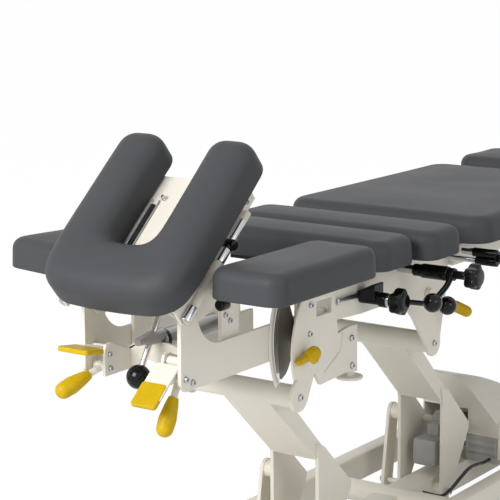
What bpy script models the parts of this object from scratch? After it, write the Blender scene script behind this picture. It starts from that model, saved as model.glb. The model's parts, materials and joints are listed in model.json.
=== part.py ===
"""Electric treatment table: drop cushions and a tilting head section on a parallelogram lift.

Metres, +Z up, +Y from the head end to the foot end, +X to the right of someone who stands at the
head end and looks along the table. The floor is Z = 0. Lengths along the table are measured from
the seam between the thoracic and lumbar cushions; heights of the lifted part from the cushion top.
"""

import math

import bmesh
import bpy
from mathutils import Euler, Matrix, Vector

# Fits
GAP = 0.0003            # between pieces that touch
RUN = 0.0004            # radial play of a pin or post in its bore

# Overall places
SIDE_X = -0.0002        # table's middle plane, so that the whole box is centred on the origin
SEAM_Y = -0.2306        # thoracic and lumbar seam
PIVOT_Z = 0.058         # lower leg pivots above the floor
LEG_LEAN = 0.205        # a leg's upper pivot lies this far to the head side of its foot
LEG_RISE = 0.404
EAR_DROP = 0.288        # upper leg pivots below the cushion top
TOP_Z = PIVOT_Z + LEG_RISE + EAR_DROP
REAR_FOOT_Y = 0.445     # rear lower pivot
WHEELBASE = 0.532       # distance between the two legs

# Cushions: width, head edge, foot edge
THORACIC = (0.444, -0.150, -0.004)
LUMBAR = (0.490, 0.004, 0.152)
PELVIC = (0.502, 0.222, 0.930)
FOOT = (0.460, 0.985, 1.205)
CUSHION_T = 0.061
CROWN = 0.004           # rise of a cushion's middle over its rim
FOOT_RISE = 0.012       # foot cushion's top over the others
BOARD_T = 0.008
BOARD_INSET = 0.078
DROP = 0.012            # travel of a drop section
POST_R = 0.009
POST_X = 0.085
POST_LEN = 0.048

# Lifted frame
HULL_X = 0.126          # middle of a side panel
HULL_T = 0.008
HULL_TOP = -(CUSHION_T + BOARD_T + DROP + 3 * GAP)
HULL_FRONT = -0.262
HULL_REAR = 0.300
HULL_LOW = -0.165
EAR_R = 0.029
BRIDGE_T = 0.022
BRIDGE_L = 0.060
SEAT_RAIL_W = 0.030
SEAT_RAIL_H = 0.045
SEAT_RAIL_END = 1.150

# Legs
TUBE_R = 0.0225
COLUMN_W = 0.110
FORK_IN = 0.0515
FORK_T = 0.008
FORK_R = 0.021
PIN_R = 0.0065
LUG = (0.295, -0.266)   # actuator pin from the upper pivot
LUG_PIN_R = 0.008
STRUT_X = -0.100
STRUT_TOP = (0.228, -0.241)
STRUT_R = 0.021
SPACER_R = 0.019

# Base
RAIL_X = 0.180
RAIL_W = 0.040
RAIL_H = 0.065
RAIL_HEAD = -0.360
RAIL_FOOT = 1.000
FOOT_H = 0.048
FOOT_R = 0.027
SPINE_H = 0.060
SPINE_W = 0.060
BAR_W = 0.050
HEAD_BAR_Y = RAIL_HEAD + 0.045
FOOT_BAR_Y = RAIL_FOOT - 0.095
SPINE_END = FOOT_BAR_Y - BAR_W / 2 - GAP
MID_BAR_Y = 0.290
HOOD_LEFT = -0.090
HOOD_RIGHT = 0.115
HOOD_WALL = 0.004
HOOD_FRONT = 0.598
ANCHOR_Y = SPINE_END - 0.0597
ANCHOR_Z = 0.130
EYE_R = 0.017
EYE_HALF = 0.015

# Head section
YOKE_X = 0.108
YOKE_T = 0.008
YOKE_FRONT = -0.650
ARM_TOP = -0.132
ARM_LOW = -0.203
TILT = (-0.190, 0.5 * (ARM_TOP + ARM_LOW))
SECTOR_R = 0.187
SECTOR_W = 0.050
HINGE = (-0.606, -0.076)
HEAD_TILT = math.radians(40.9)
PAD_W = 0.296
PAD_L = 0.372
PAD_T = 0.067
SLOT_W = 0.108
PAD_MID = 0.119         # pad centre from the hinge, along the tray
PAD_TOP = 0.147         # pad top from the hinge, square to the tray
TRAY_X = PAD_W / 2 - 0.018
TRAY_END = PAD_MID + PAD_L / 2 - 0.056
TRAY_T = 0.004
FLANGE_H = 0.036
ROD_R = 0.008
BALL_R = 0.0225

# Armrests
REST_SIZE = (0.160, 0.351, 0.060)
REST_MID = (0.232, -0.4655)
REST_TOP = 0.030
REST_PIVOT = (0.185, -0.535)
LEFT_SWING = math.radians(-9.5)

# Side controls, all on the right
KNOB_R = 0.028
CONTROL_BALL_R = 0.0195

WHITE = ("frame_white", (0.80, 0.78, 0.73), 0.45, 0.0)
VINYL = ("grey_vinyl", (0.115, 0.118, 0.123), 0.55, 0.0)
YELLOW = ("yellow_grip", (0.74, 0.50, 0.01), 0.45, 0.0)
BLACK = ("black_plastic", (0.012, 0.012, 0.013), 0.25, 0.0)
CHROME = ("chrome", (0.75, 0.75, 0.76), 0.12, 1.0)
GREY = ("grey_drive", (0.22, 0.22, 0.21), 0.5, 0.0)
STEEL = ("grey_steel", (0.36, 0.36, 0.35), 0.35, 0.8)

for old in list(bpy.data.objects):
    bpy.data.objects.remove(old, do_unlink=True)
TABLE = bpy.data.collections.new("electric_treatment_table")
CUTTERS = bpy.data.collections.new("cutters")
bpy.context.scene.collection.children.link(TABLE)
bpy.context.scene.collection.children.link(CUTTERS)
SIDEWAYS = Euler((math.pi / 2, 0.0, math.pi / 2))     # outline x, y become table Y, Z
UPRIGHT = Euler((math.pi / 2, 0.0, 0.0))              # outline x, y become table X, Z
SIDES = (("left", -1), ("right", 1))


def joint(name, place, turn=(0.0, 0.0, 0.0), parent=None):
    """An empty on a joint's axis, which carries the pieces of one moving body."""
    axis = bpy.data.objects.new(name, None)
    axis.empty_display_size = 0.05
    axis.location = place
    axis.rotation_euler = turn
    axis.parent = parent
    TABLE.objects.link(axis)
    return axis


def surface(finish):
    """A new material for a (name, colour, roughness, metallic) finish."""
    name, colour, rough, metal = finish
    made = bpy.data.materials.new(name)
    made.use_nodes = True
    shader = made.node_tree.nodes["Principled BSDF"]
    shader.inputs["Base Color"].default_value = (*colour, 1.0)
    shader.inputs["Roughness"].default_value = rough
    shader.inputs["Metallic"].default_value = metal
    return made


def piece(name, mesh, place, turn, parent, finish):
    """A named sub-part, or a cutter where there is no finish."""
    made = bpy.data.objects.new(name, mesh)
    made.location = place
    made.rotation_euler = turn
    made.parent = parent
    if finish is None:
        CUTTERS.objects.link(made)
        made.hide_render = True
        made.display_type = "WIRE"
    else:
        TABLE.objects.link(made)
        mesh.materials.append(surface(finish))
        mesh.shade_smooth()
        mesh.set_sharp_from_angle(angle=math.radians(35))
    return made


def mesh_from(name, bm):
    mesh = bpy.data.meshes.new(name)
    bm.to_mesh(mesh)
    bm.free()
    return mesh


def box(name, low, high, parent, finish, edge=0.0):
    """A box between two corners, with its edges rounded by edge."""
    low, high = Vector(low), Vector(high)
    bm = bmesh.new()
    bmesh.ops.create_cube(bm, size=1.0)
    bmesh.ops.scale(bm, vec=high - low, verts=bm.verts)
    made = piece(name, mesh_from(name, bm), (low + high) / 2, (0, 0, 0), parent, finish)
    if edge:
        bevel = made.modifiers.new("edge", "BEVEL")
        bevel.width = edge
        bevel.segments = 2
        bevel.limit_method = "ANGLE"
        bevel.angle_limit = math.radians(40)
    return made


def rod(name, start, end, radius, parent, finish, sides=20, end_radius=None):
    """A round bar between two points; a second radius makes it a taper."""
    start, end = Vector(start), Vector(end)
    bm = bmesh.new()
    bmesh.ops.create_cone(bm, cap_ends=True, segments=sides, radius1=radius,
                          radius2=radius if end_radius is None else end_radius,
                          depth=(end - start).length)
    turn = (end - start).to_track_quat("Z", "Y").to_euler()
    return piece(name, mesh_from(name, bm), (start + end) / 2, turn, parent, finish)


def ball(name, middle, radius, parent, finish):
    bm = bmesh.new()
    bmesh.ops.create_uvsphere(bm, u_segments=16, v_segments=10, radius=radius)
    return piece(name, mesh_from(name, bm), middle, (0, 0, 0), parent, finish)


def arc(middle, radius, start, end, steps=8):
    """Points on a circle from one angle to another, in degrees."""
    angles = [math.radians(start + (end - start) * k / steps) for k in range(steps + 1)]
    return [(middle[0] + radius * math.cos(a), middle[1] + radius * math.sin(a)) for a in angles]


def capsule(first, radius, second, end_radius, steps=8):
    """Outline of a flat link: two round ends joined by straight sides."""
    aim = math.degrees(math.atan2(second[1] - first[1], second[0] - first[0]))
    return (arc(first, radius, aim + 90, aim + 270, steps)
            + arc(second, end_radius, aim - 90, aim + 90, steps))


def plate(name, outline, thickness, place, turn, parent, finish):
    """A flat outline given thickness about its own plane, as a mesh with welded caps."""
    curve = bpy.data.curves.new(name, "CURVE")
    curve.dimensions = "2D"
    curve.fill_mode = "BOTH"
    curve.extrude = thickness / 2
    spline = curve.splines.new("POLY")
    spline.points.add(len(outline) - 1)
    for point, (x, y) in zip(spline.points, outline):
        point.co = (x, y, 0.0, 1.0)
    spline.use_cyclic_u = True
    guide = bpy.data.objects.new(name + "_outline", curve)
    CUTTERS.objects.link(guide)
    graph = bpy.context.evaluated_depsgraph_get()
    mesh = bpy.data.meshes.new_from_object(guide.evaluated_get(graph))
    bpy.data.objects.remove(guide, do_unlink=True)
    bm = bmesh.new()
    bm.from_mesh(mesh)
    bmesh.ops.remove_doubles(bm, verts=bm.verts, dist=0.00001)
    bmesh.ops.recalc_face_normals(bm, faces=bm.faces)
    bm.to_mesh(mesh)
    bm.free()
    mesh.materials.clear()
    return piece(name, mesh, place, turn, parent, finish)


def side_plate(name, outline, first_x, second_x, parent, finish):
    """A plate that stands along the table: its outline in Y and Z, its faces at two X places."""
    middle = ((first_x + second_x) / 2, 0, 0)
    return plate(name, outline, abs(second_x - first_x), middle, SIDEWAYS, parent, finish)


def combine(made, operation, *others):
    for other in others:
        step = made.modifiers.new(operation.lower(), "BOOLEAN")
        step.operation = operation
        step.solver = "EXACT"
        step.object = other


def shifted(outline, step):
    return [(x + step[0], y + step[1]) for x, y in outline]


def crease_floor(bm, depth):
    """Keeps a pad's lower rim sharp, where the cover is pulled over the board."""
    crease = bm.edges.layers.float.new("crease_edge")
    for edge in bm.edges:
        if all(abs(v.co.z - depth) < 1e-5 for v in edge.verts):
            edge[crease] = 1.0


def soften(made):
    smooth = made.modifiers.new("soft", "SUBSURF")
    smooth.levels = smooth.render_levels = 2


def cushion(name, size, corner, place, parent, wall_rows=2, foot_inset=0.006):
    """A crowned pad from a coarse cage: the rim is rounded and the sides draw in to the board."""
    width, length, thick = size
    xs = [-width / 2, -width / 2 + corner, width / 2 - corner, width / 2]
    ys = [-length / 2, -length / 2 + corner, length / 2 - corner, length / 2]
    bm = bmesh.new()
    top = [[bm.verts.new((x, y, CROWN if 0 < i < 3 and 0 < j < 3 else 0.0))
            for j, y in enumerate(ys)] for i, x in enumerate(xs)]
    for i in range(3):
        for j in range(3):
            bm.faces.new((top[i][j], top[i + 1][j], top[i + 1][j + 1], top[i][j + 1]))
    rim = ([(i, 0) for i in range(3)] + [(3, j) for j in range(3)]
           + [(i, 3) for i in (3, 2, 1)] + [(0, j) for j in (3, 2, 1)])
    ring = [top[i][j] for i, j in rim]
    levels = [(-0.45 * thick, -0.001)] * (wall_rows - 1) + [(-thick, foot_inset)]
    for depth, inset in levels:
        below = []
        for i, j in rim:
            x = xs[i] - math.copysign(inset if i in (0, 3) else 0.0, xs[i])
            y = ys[j] - math.copysign(inset if j in (0, 3) else 0.0, ys[j])
            below.append(bm.verts.new((x, y, depth)))
        for k in range(len(ring)):
            after = (k + 1) % len(ring)
            bm.faces.new((ring[after], ring[k], below[k], below[after]))
        ring = below
    bm.faces.new(list(reversed(ring)))
    crease_floor(bm, -thick)
    bmesh.ops.recalc_face_normals(bm, faces=bm.faces)
    made = piece(name, mesh_from(name, bm), place, (0, 0, 0), parent, VINYL)
    soften(made)
    return made


def star_knob(name, start_x, neck_x, end_x, neck_r, parent):
    """A five-lobed hand knob on a neck, turning about X: radius = mean * (1 + lobe * cos 5a)."""
    outline = []
    for k in range(40):
        angle = 2 * math.pi * k / 40
        radius = KNOB_R * (0.88 + 0.12 * math.cos(5 * angle))
        outline.append((radius * math.cos(angle), radius * math.sin(angle)))
    made = side_plate(name, outline, neck_x, end_x, parent, BLACK)
    combine(made, "UNION", rod(name + "_neck", (start_x, 0, 0), (neck_x + 0.004, 0, 0), neck_r, parent, None))
    return made


def lever_arm(name, hub, hub_r, start, end, rod_r, tip_r, parent, finish, sides=12):
    """A control lever: a hub along X between two X places, a straight arm and a ball or grip."""
    made = rod(name, (hub[0], 0, 0), (hub[1], 0, 0), hub_r, parent, finish)
    arm = rod(name + "_arm", start, end, rod_r, parent, None, sides)
    tip = ball(name + "_tip", end, tip_r, parent, None)
    combine(made, "UNION", arm, tip)
    return made


datum = joint("table_datum", (SIDE_X, SEAM_Y, 0))

# The base: two floor rails on levelling feet, end bars, and a spine with the lower pivots
RAIL_TOP = FOOT_H + RAIL_H
SPINE_LOW = PIVOT_Z - SPINE_H / 2
SPINE_TOP = PIVOT_Z + SPINE_H / 2
SPINE_X = SPINE_W / 2
BOSS_X = FORK_IN - GAP
BOSS_R = 0.019
FRONT_FOOT_Y = REAR_FOOT_Y - WHEELBASE
BAR_REACH = RAIL_X - RAIL_W / 2 - GAP
BAR_LOW = FOOT_H + 0.004
FORK_OUT = FORK_IN + FORK_T
PIN_LEFT = STRUT_X - FORK_T / 2 - 0.006

for side, sign in SIDES:
    box(f"base_rail_{side}", (sign * RAIL_X - RAIL_W / 2, RAIL_HEAD, FOOT_H),
        (sign * RAIL_X + RAIL_W / 2, RAIL_FOOT, RAIL_TOP), datum, WHITE, edge=0.005)
    for end, y in (("head", RAIL_HEAD + 0.05), ("foot", RAIL_FOOT - 0.05)):
        pad = rod(f"levelling_foot_{end}_{side}", (sign * RAIL_X, y, 0), (sign * RAIL_X, y, 0.014),
                  FOOT_R, datum, BLACK, sides=24, end_radius=FOOT_R * 0.8)
        stem = rod(f"foot_stem_{end}_{side}", (sign * RAIL_X, y, 0.007),
                   (sign * RAIL_X, y, FOOT_H - GAP), 0.008, datum, None, sides=12)
        combine(pad, "UNION", stem)


def lower_pin(name, y):
    """The bar that a leg turns on, and the boss through the spine that keeps the fork apart."""
    return (rod(f"{name}_boss", (-BOSS_X, y, PIVOT_Z), (BOSS_X, y, PIVOT_Z), BOSS_R, datum, None, 24),
            rod(name, (PIN_LEFT, y, PIVOT_Z), (FORK_OUT + 0.006, y, PIVOT_Z), PIN_R, datum, None, 16))


def cross_bar(name, y, finish):
    return box(name, (-BAR_REACH, y - BAR_W / 2, BAR_LOW), (BAR_REACH, y + BAR_W / 2, BAR_LOW + BAR_W),
               datum, finish, edge=0.004)


mid_low = MID_BAR_Y - BAR_W / 2
front_spine = box("base_spine_front", (-SPINE_X, HEAD_BAR_Y, SPINE_LOW),
                  (SPINE_X, mid_low - GAP, SPINE_TOP), datum, WHITE)
combine(front_spine, "UNION", cross_bar("head_bar", HEAD_BAR_Y, None),
        *lower_pin("front_lower_pin", FRONT_FOOT_Y))
rear_spine = box("base_spine_rear", (-SPINE_X, mid_low, SPINE_LOW), (SPINE_X, SPINE_END, SPINE_TOP),
                 datum, WHITE)
mid_bar = rod("mid_bar", (-BAR_REACH, MID_BAR_Y, 0.076), (BAR_REACH, MID_BAR_Y, 0.076), BAR_W / 2,
              datum, None, sides=24)
anchors = [side_plate(f"anchor_{k}", capsule((ANCHOR_Y, ANCHOR_Z), 0.020, (ANCHOR_Y, PIVOT_Z), 0.026),
                      sign * (EYE_HALF + 0.002), sign * (EYE_HALF + 0.008), datum, None)
           for k, sign in enumerate((-1, 1))]
combine(rear_spine, "UNION", mid_bar, *lower_pin("rear_lower_pin", REAR_FOOT_Y), *anchors)
cross_bar("base_bar_foot", FOOT_BAR_Y, WHITE)

# The hood over the actuator, open to the front and below, and the ribbed control box under it
HOOD_LOW = BAR_LOW + BAR_W + GAP
HOOD_TURN = (0.560, -0.062)             # middle of the hood's curved back
HOOD_R = 0.357
SHOULDER = ((HOOD_RIGHT - 0.007, 0.190), (0.0886, 0.211), (0.048, 0.252), (0.012, 0.284), (-0.010, 0.294))
BOX_TOP = 0.154


def hood_body(name, wall, front, low, finish):
    """The hood, inside its skin by wall: a curved back in side view, a sloped shoulder in front view."""
    radius = HOOD_R - wall
    back = arc(HOOD_TURN, radius, 30, math.degrees(math.acos((front - HOOD_TURN[0]) / radius)), 12)
    left, right = HOOD_LEFT + wall, HOOD_RIGHT - wall
    made = side_plate(name, [(front, low), (back[0][0], low)] + back, left, right, datum, finish)
    section = ([(left, 0.0), (right, 0.0), (right, SHOULDER[0][1] - wall)]
               + [(x - 0.75 * wall, z - wall) for x, z in SHOULDER] + [(left, SHOULDER[-1][1] - wall)])
    combine(made, "INTERSECT",
            plate(f"{name}_section", section, 1.0, (0, front + 0.45, 0), UPRIGHT, datum, None))
    return made


hood = hood_body("actuator_hood", 0.0, HOOD_FRONT, HOOD_LOW, WHITE)
INSIDE = (HOOD_LEFT + HOOD_WALL, HOOD_RIGHT - HOOD_WALL)
MOUTH = [(INSIDE[0], 0.05), (INSIDE[1], 0.05), (INSIDE[1], BOX_TOP + GAP), (0.0313, BOX_TOP + GAP),
         (0.0313, 0.215), (INSIDE[0], 0.215)]
combine(hood, "DIFFERENCE", hood_body("hood_inside", HOOD_WALL, HOOD_FRONT + HOOD_WALL, 0.05, None),
        plate("hood_mouth", MOUTH, 0.05, (0, HOOD_FRONT, 0), UPRIGHT, datum, None))
BOX_LOW = Vector((0.024, 0.600, SPINE_TOP + GAP))
BOX_HIGH = Vector((HOOD_RIGHT - HOOD_WALL - GAP, 0.750, BOX_TOP))
control = box("control_box", BOX_LOW, BOX_HIGH, datum, GREY, edge=0.004)
for k in range(3):
    z = BOX_LOW.z + 0.016 + 0.018 * k
    combine(control, "DIFFERENCE", box(f"control_groove_{k}", (BOX_LOW.x + 0.008, BOX_LOW.y - 0.01, z),
                                       (BOX_HIGH.x - 0.008, BOX_LOW.y + 0.003, z + 0.007), datum, None))

# Lead from the control box to the side of the spine, held at both ends
LEAD_R = 0.004
LEAD = ((0.090, BOX_LOW.y - GAP, 0.100), (0.090, 0.570, 0.100), (0.095, 0.525, 0.108), (0.100, 0.475, 0.112),
        (0.098, 0.435, 0.098), (0.090, 0.405, 0.078), (0.076, 0.386, 0.066),
        (SPINE_X + GAP, 0.386, 0.066))
lead_curve = bpy.data.curves.new("control_lead", "CURVE")
lead_curve.dimensions = "3D"
lead_curve.bevel_depth = LEAD_R
lead_curve.bevel_resolution = 2
lead_curve.use_fill_caps = True
lead_path = lead_curve.splines.new("POLY")
lead_path.points.add(len(LEAD) - 1)
for point, place in zip(lead_path.points, LEAD):
    point.co = (*place, 1.0)
lead_curve.materials.append(surface(BLACK))
lead = bpy.data.objects.new("control_lead", lead_curve)
lead.parent = datum
TABLE.objects.link(lead)

# The two legs: a slanted column under a cross tube, bent into an upright fork
TO_PIVOT = (-LEG_LEAN, LEG_RISE)        # from a leg's foot to its upper pivot
FOOT_REL = (LEG_LEAN, -LEG_RISE)
COLUMN = [(-0.006, -0.014), (0.180, -0.185), (0.207, -0.166), (0.090, -0.050), (0.016, 0.006)]
KITE = ([(0.172, -0.150), (0.202, -0.160), (LUG[0] + 0.014, LUG[1] + 0.004),
         (LUG[0] + 0.014, LUG[1] - 0.010)]
        + arc(FOOT_REL, FORK_R, -12, -168, 8) + [(0.180, -0.190)])


def leg(name, foot_y):
    """One lift leg, turning on its lower pin."""
    axis = joint(f"{name}_axis", (0, foot_y, PIVOT_Z), parent=datum)
    column = side_plate(name, shifted(COLUMN, TO_PIVOT), -COLUMN_W / 2, COLUMN_W / 2, axis, WHITE)
    reach = HULL_X - HULL_T / 2 - GAP
    tube = rod(f"{name}_tube", (-reach, *TO_PIVOT), (reach, *TO_PIVOT), TUBE_R, axis, None, sides=24)
    forks = [side_plate(f"{name}_fork_{k}", shifted(KITE, TO_PIVOT), sign * FORK_IN, sign * FORK_OUT,
                        axis, None) for k, sign in enumerate((-1, 1))]
    strut = side_plate(f"{name}_strut", shifted(capsule(STRUT_TOP, STRUT_R, FOOT_REL, STRUT_R), TO_PIVOT),
                       STRUT_X - FORK_T / 2, STRUT_X + FORK_T / 2, axis, None)
    top = shifted([STRUT_TOP], TO_PIVOT)[0]
    spacer = rod(f"{name}_spacer", (STRUT_X, *top), (-FORK_IN - FORK_T / 2, *top), SPACER_R, axis, None)
    combine(column, "UNION", tube, *forks, strut, spacer)
    if name == "rear_leg":
        lug = shifted([LUG], TO_PIVOT)[0]
        combine(column, "UNION", rod("lug_pin", (-FORK_IN - 0.004, *lug), (FORK_IN + 0.004, *lug),
                                     LUG_PIN_R, axis, None, 16))
    combine(column, "DIFFERENCE", rod(f"{name}_bore", (STRUT_X - 0.02, 0, 0), (FORK_OUT + 0.02, 0, 0),
                                      PIN_R + RUN, axis, None, 16))


leg("rear_leg", REAR_FOOT_Y)
leg("front_leg", FRONT_FOOT_Y)

# The linear actuator: an eye on the leg's lug pin, a tube to the back and a motor below
LUG_Y = REAR_FOOT_Y - LEG_LEAN + LUG[0]
LUG_Z = TOP_Z - EAR_DROP + LUG[1]
drive = joint("actuator_axis", (0, LUG_Y, LUG_Z), parent=datum)
aim = Vector((0, ANCHOR_Y - LUG_Y, ANCHOR_Z - LUG_Z))
ram_end = aim.copy()
RAM_R = 0.0105
barrel = rod("actuator_body", aim * 0.03, aim * 0.77, 0.021, drive, GREY, sides=24)
combine(barrel, "UNION",
        rod("actuator_eye", (-0.020, 0, 0), (0.020, 0, 0), 0.022, drive, None, sides=24),
        box("motor_neck", (-0.014, -0.052, -0.048), (0.014, 0.012, 0.004), drive, None),
        box("actuator_motor", (-0.032, -0.095, -0.088), (0.032, -0.030, -0.022), drive, None, edge=0.010))
combine(barrel, "DIFFERENCE",
        rod("eye_bore", (-0.05, 0, 0), (0.05, 0, 0), LUG_PIN_R + RUN, drive, None, 16),
        rod("barrel_bore", aim * 0.21, aim * 1.2, RAM_R + RUN, drive, None, 20))
ram = rod("actuator_rod", aim * 0.325, aim, RAM_R, drive, CHROME, sides=20)
combine(ram, "UNION", rod("ram_eye", ram_end - Vector((EYE_HALF, 0, 0)), ram_end + Vector((EYE_HALF, 0, 0)),
                          EYE_R, drive, None, sides=20))

# The lifted frame: side panels with ears for the legs, bridges, rails and the quadrant's label plates
deck = joint("platform_datum", (0, 0, TOP_Z), parent=datum)
FRONT_EAR = (FRONT_FOOT_Y - LEG_LEAN, -EAR_DROP)
REAR_EAR = (REAR_FOOT_Y - LEG_LEAN, -EAR_DROP)
PANEL = ([(HULL_REAR, HULL_TOP), (HULL_FRONT, HULL_TOP), (-0.303, -0.092), (-0.303, -0.172),
          (HULL_FRONT, -0.205), (FRONT_EAR[0] - EAR_R * 0.8, FRONT_EAR[1] + 0.020)]
         + arc(FRONT_EAR, EAR_R, 170, 330, 8)
         + [(-0.240, -0.250), (-0.218, -0.279), (-0.125, -0.275), (-0.080, -0.281), (-0.083, HULL_LOW)]
         + [(0.020, HULL_LOW)] + arc((0.030, -0.330), 0.165, 80, 36, 6)
         + arc(REAR_EAR, EAR_R, 190, 380, 8) + [(HULL_REAR - 0.012, -0.190)])
GUARD_SLOT = [(-0.205, -0.252), (-0.150, -0.222), (-0.141, -0.190), (-0.136, -0.190), (-0.145, -0.226),
              (-0.205, -0.258)]
WINDOWS = ([(-0.2355, -0.110), (-0.181, -0.110), (-0.181, -0.140), (-0.2355, -0.140)],
           [(-0.160, -0.160), (-0.0506, -0.166), (-0.0547, -0.184), (-0.119, -0.183), (-0.155, -0.188)])
LABEL_X = 0.1455
LABEL_T = 0.004
LABEL = arc((-0.190, -0.190), 0.161, 135, 198, 10) + [(-0.298, -0.242), (-0.275, -0.225), (-0.275, -0.068)]
SPACERS = ((-0.287, -0.105), (-0.290, -0.160))
HULL_IN = HULL_X - HULL_T / 2
HULL_OUT = HULL_X + HULL_T / 2
for side, sign in SIDES:
    panel = side_plate(f"hull_panel_{side}", PANEL, sign * HULL_IN, sign * HULL_OUT, deck, WHITE)
    combine(panel, "DIFFERENCE", side_plate(f"guard_slot_{side}", GUARD_SLOT, sign * (HULL_OUT - 0.002),
                                            sign * (HULL_OUT + 0.010), deck, None))
    combine(panel, "DIFFERENCE", *(side_plate(f"panel_window_{side}_{k}", window, sign * (HULL_IN - 0.010),
                                              sign * (HULL_OUT + 0.010), deck, None)
                                   for k, window in enumerate(WINDOWS)))
    box(f"seat_rail_{side}", (sign * HULL_X - SEAT_RAIL_W / 2, HULL_REAR + GAP, HULL_TOP - SEAT_RAIL_H),
        (sign * HULL_X + SEAT_RAIL_W / 2, SEAT_RAIL_END, HULL_TOP), deck, WHITE, edge=0.003)
    label = side_plate(f"quadrant_plate_{side}", LABEL, sign * LABEL_X, sign * (LABEL_X + LABEL_T),
                       deck, WHITE)
    for k, (y, z) in enumerate(SPACERS):
        combine(label, "UNION", rod(f"label_spacer_{side}_{k}", (sign * (HULL_OUT + GAP), y, z),
                                    (sign * (LABEL_X + 0.002), y, z), 0.008, deck, None, 16))
BRIDGE_X = HULL_IN - GAP
BRIDGE_TOP = HULL_TOP - 0.004


def drop_section(name, width, head, foot, post_y):
    """A cushion on a board whose two posts run down through a bored bridge."""
    axis = joint(f"{name}_drop_axis", (0, 0, 0), parent=deck)
    cushion(f"{name}_cushion", (width, foot - head, CUSHION_T), 0.034, (0, (head + foot) / 2, 0), axis)
    high = -CUSHION_T - GAP
    low = high - BOARD_T
    board = box(f"{name}_board", (-width / 2 + BOARD_INSET, head + 0.016, low),
                (width / 2 - BOARD_INSET, foot - 0.016, high), axis, BLACK)
    bridge = box(f"{name}_bridge", (-BRIDGE_X, post_y - BRIDGE_L / 2, BRIDGE_TOP - BRIDGE_T),
                 (BRIDGE_X, post_y + BRIDGE_L / 2, BRIDGE_TOP), deck, WHITE)
    for k, x in enumerate((-POST_X, POST_X)):
        combine(board, "UNION", rod(f"{name}_post_{k}", (x, post_y, low + BOARD_T / 2),
                                    (x, post_y, low - POST_LEN), POST_R, axis, None, 16))
        combine(bridge, "DIFFERENCE", rod(f"{name}_post_bore_{k}", (x, post_y, 0), (x, post_y, -0.3),
                                          POST_R + RUN, deck, None, 16))


drop_section("thoracic", *THORACIC, -0.075)
drop_section("lumbar", *LUMBAR, 0.080)
drop_section("pelvic", *PELVIC, 0.268)
cushion("foot_cushion", (FOOT[0], FOOT[2] - FOOT[1], FOOT_RISE - HULL_TOP - GAP), 0.045,
        (0, (FOOT[1] + FOOT[2]) / 2, FOOT_RISE), deck, wall_rows=1)

# Drop controls on the right: a cylinder on the side panel, a cocking lever and a star knob each
SHAFT = HULL_OUT + GAP
UNIT_A = (-0.070, -0.130)
UNIT_B = (0.080, -0.095)
UNIT_C = (0.270, -0.092)
unit_a = rod("drop_cylinder_a", (SHAFT, *UNIT_A), (0.175, *UNIT_A), 0.012, deck, BLACK)
WEDGE = [(SHAFT, 0.002), (0.172, 0.002), (0.172, 0.032), (0.166, 0.032), (SHAFT, 0.014)]
combine(unit_a, "UNION", plate("wedge_a", shifted(WEDGE, (0, UNIT_A[1])), 0.036, (0, UNIT_A[0], 0), UPRIGHT,
                               deck, None))
for name, (y, z), step_x, end_x in (("drop_cylinder_b", UNIT_B, 0.173, 0.248),
                                    ("drop_cylinder_c", UNIT_C, 0.205, 0.264)):
    unit = rod(name, (SHAFT, y, z), (step_x + 0.004, y, z), 0.009, deck, BLACK)
    combine(unit, "UNION", rod(name + "_sleeve", (step_x, y, z), (end_x, y, z), 0.015, deck, None))

lever_a = joint("cocking_lever_a_axis", (0, *UNIT_A), parent=deck)
lever_arm("cocking_lever_a", (0.175 + GAP, 0.192), 0.015, (0.1825, 0.006, -0.002), (0.235, 0.170, -0.036),
          0.0055, CONTROL_BALL_R, lever_a, BLACK)
lever_b = joint("cocking_lever_b_axis", (0, *UNIT_B), parent=deck)
lever_arm("cocking_lever_b", (0.248 + GAP, 0.262), 0.013, (0.255, 0, 0), (0.258, -0.086, -0.043),
          0.0065, CONTROL_BALL_R, lever_b, BLACK)
knob_a = joint("star_knob_a_axis", (0, *UNIT_A), parent=deck)
star_knob("star_knob_a", 0.192 + GAP, 0.206, 0.234, 0.014, knob_a)
knob_b = joint("star_knob_b_axis", (0, *UNIT_B), parent=deck)
star_knob("star_knob_b", 0.262 + GAP, 0.292, 0.320, 0.011, knob_b)
knob_c = joint("star_knob_c_axis", (0, *UNIT_C), parent=deck)
star_knob("star_knob_c", 0.264 + GAP, 0.292, 0.320, 0.011, knob_c)
seat_lever = joint("pelvic_lever_axis", (0, 0.205, -0.172), parent=deck)
lever_arm("pelvic_lever", (SHAFT, 0.142), 0.012, (0.137, 0.002, -0.002), (0.202, 0.043, -0.038), 0.0055,
          0.013, seat_lever, YELLOW)
LABEL_OUT = LABEL_X + LABEL_T + GAP
clamp = joint("quadrant_lever_axis", (0, -0.333, -0.203), parent=deck)
lever_arm("quadrant_lever", (LABEL_OUT, 0.166), 0.009, (0.160, 0, 0), (0.172, 0.024, 0.020), 0.009, 0.015,
          clamp, YELLOW)

# The head frame: two yoke plates, the plate between them, the spring tube and the tilt sectors
head = joint("head_frame_axis", (0, *TILT), parent=deck)


def on_head(y, z):
    """A place given from the seam and cushion top, as seen from the tilt axis."""
    return (y - TILT[0], z - TILT[1])


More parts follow.
